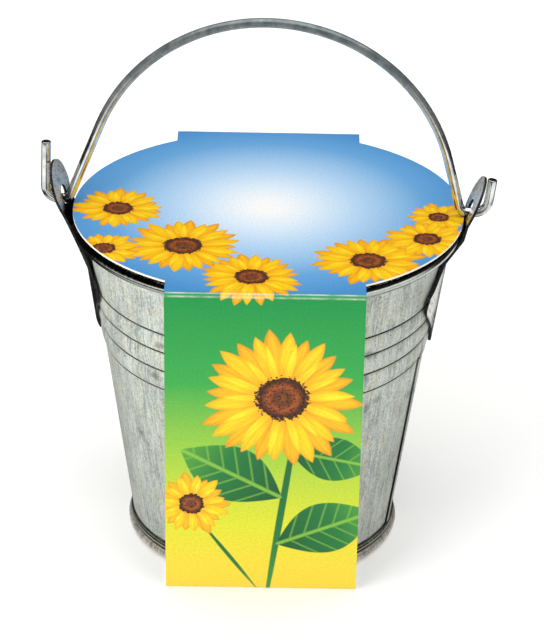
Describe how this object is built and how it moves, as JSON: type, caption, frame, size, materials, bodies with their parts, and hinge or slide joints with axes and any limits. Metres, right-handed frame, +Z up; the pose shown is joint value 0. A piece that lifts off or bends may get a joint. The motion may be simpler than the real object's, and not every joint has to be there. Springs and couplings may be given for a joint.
{
  "type": "galvanised mini bucket with card sleeve",
  "caption": "Small tapered galvanised bucket with beaded bands, leaf-shaped ears, a hinged wire bail and a printed card sleeve that covers the mouth and wraps under the base.",
  "frame": {"origin": "centre of the bucket's footprint, on the surface that it stands on, which is the underside of the card strap", "axes": "+Z up; +X through the right ear along the bail's hinge; the front of the card sleeve faces -Y, turned three degrees"},
  "size_m": [0.1013, 0.09, 0.1235],
  "materials": {
    "galvanised_sheet": "galvanised sheet steel, matt light grey with fine upright streaks and dull smudges",
    "bright_zinc": "bright zinc coat on wire and pressed plate, glossy with fine scratches",
    "printed_card": "coated paperboard, printed on the outside with yellow blooms on blue and green, bare cream edges",
    "peat": "pressed peat, matt and fibrous",
    "paper": "plain uncoated paper with crimped edges"
  },
  "bodies": {
    "bucket": {"bucket_wall": "galvanised_sheet", "bucket_bottom": "galvanised_sheet", "ear_left": "bright_zinc", "ear_right": "bright_zinc", "card_sleeve": "printed_card", "soil_tablet": "peat", "seed_sachet": "paper"},
    "bail": {"bail_handle": "bright_zinc"}
  },
  "joints": [
    {"name": "bail_swing", "type": "hinge", "parent": "bucket", "child": "bail", "pos_m": [0, 0, 0.0798], "axis": [1, 0, 0], "range_deg": [-90, 90]}
  ]
}
